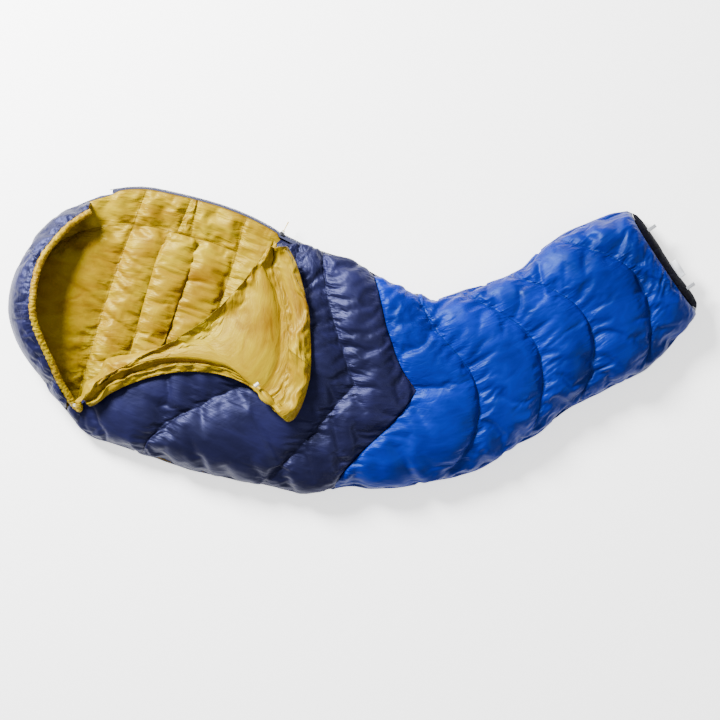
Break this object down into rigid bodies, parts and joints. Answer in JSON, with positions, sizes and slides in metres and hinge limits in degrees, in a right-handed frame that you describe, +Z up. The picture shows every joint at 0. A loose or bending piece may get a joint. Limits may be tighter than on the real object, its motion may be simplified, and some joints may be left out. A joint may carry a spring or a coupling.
{
  "type": "mummy sleeping bag",
  "caption": "Down-filled mummy sleeping bag lying on its back, unzipped at one side, with its front panel folded open over the chest and a shaped hood.",
  "frame": {"origin": "on the floor, under the middle of the bag's bounding box", "axes": "+X from the head end to the foot end, +Y towards the zipped side, +Z up"},
  "size_m": [1.9502, 0.8722, 0.1875],
  "materials": {
    "navy_shell": "satin",
    "blue_shell": "satin",
    "yellow_liner": "satin",
    "end_cloth": "matt",
    "down": "matt",
    "baffle_net": "matt",
    "zip_cloth": "matt",
    "coil_plastic": "satin",
    "slider_metal": "satin",
    "pull_cord": "matt",
    "drawcord": "matt",
    "webbing": "matt",
    "label_cloth": "matt",
    "lock_plastic": "satin",
    "spring_steel": "bright"
  },
  "bodies": {
    "bag": {"back_shell_torso": "navy_shell", "back_shell_legs": "blue_shell", "back_down_chamber_1": "down", "back_down_chamber_2": "down", "back_down_chamber_3": "down", "back_down_chamber_4": "down", "back_baffle_1": "baffle_net", "back_baffle_2": "baffle_net", "back_baffle_3": "baffle_net", "back_liner": "yellow_liner", "front_shell_torso": "navy_shell", "front_shell_legs": "blue_shell", "front_down_chamber_1": "down", "front_down_chamber_2": "down", "front_down_chamber_3": "down", "front_down_chamber_4": "down", "front_down_chamber_5": "down", "front_down_chamber_6": "down", "front_down_chamber_7": "down", "front_down_chamber_8": "down", "front_baffle_1": "baffle_net", "front_baffle_2": "baffle_net", "front_baffle_3": "baffle_net", "front_baffle_4": "baffle_net", "front_baffle_5": "baffle_net", "front_baffle_6": "baffle_net", "front_baffle_7": "baffle_net", "front_liner": "yellow_liner", "back_collar": "yellow_liner", "hood_shell": "navy_shell", "hood_liner": "yellow_liner", "hood_down_gore_1": "down", "hood_down_gore_2": "down", "hood_down_gore_3": "down", "hood_down_gore_4": "down", "hood_hem": "yellow_liner", "hood_drawcord": "drawcord", "hood_cord_lock": "lock_plastic", "hood_lock_spring": "spring_steel", "back_zip_tape": "zip_cloth", "back_zip_coil": "coil_plastic", "front_zip_tape": "zip_cloth", "front_zip_coil": "coil_plastic", "zip_stop_head": "slider_metal", "zip_stop_foot": "slider_metal", "foot_end_panel": "end_cloth", "hang_loop_zip_side": "webbing", "hang_loop_closed_side": "webbing", "care_label": "label_cloth"},
    "flap": {"flap_shell": "navy_shell", "flap_down": "down", "flap_liner": "yellow_liner", "draft_tube": "yellow_liner", "front_collar": "yellow_liner", "collar_toggle": "lock_plastic", "flap_zip_tape": "zip_cloth", "flap_zip_coil": "coil_plastic"},
    "slider": {"slider_body": "slider_metal"},
    "pull": {"slider_pull": "pull_cord"},
    "hood_button": {"hood_lock_button": "lock_plastic"}
  },
  "joints": [
    {"name": "flap_fold", "type": "hinge", "parent": "bag", "child": "flap", "pos_m": [-0.22615, 0.27686, 0.098], "axis": [-0.7712, -0.6366, 0], "range_deg": [0, 163]},
    {"name": "slider_run", "type": "slide", "parent": "bag", "child": "slider", "axis": [0.8826, -0.4701, 0], "range_m": [0, 0.025]},
    {"name": "pull_swing", "type": "hinge", "parent": "slider", "child": "pull", "pos_m": [-0.20321, 0.3089, 0.036], "axis": [0.8826, -0.4701, 0], "range_deg": [-45, 80]},
    {"name": "hood_lock_press", "type": "slide", "parent": "bag", "child": "hood_button", "axis": [-0.3813, 0.2155, -0.899], "range_m": [0, 0.0025], "stiffness_N_per_m": 300}
  ]
}
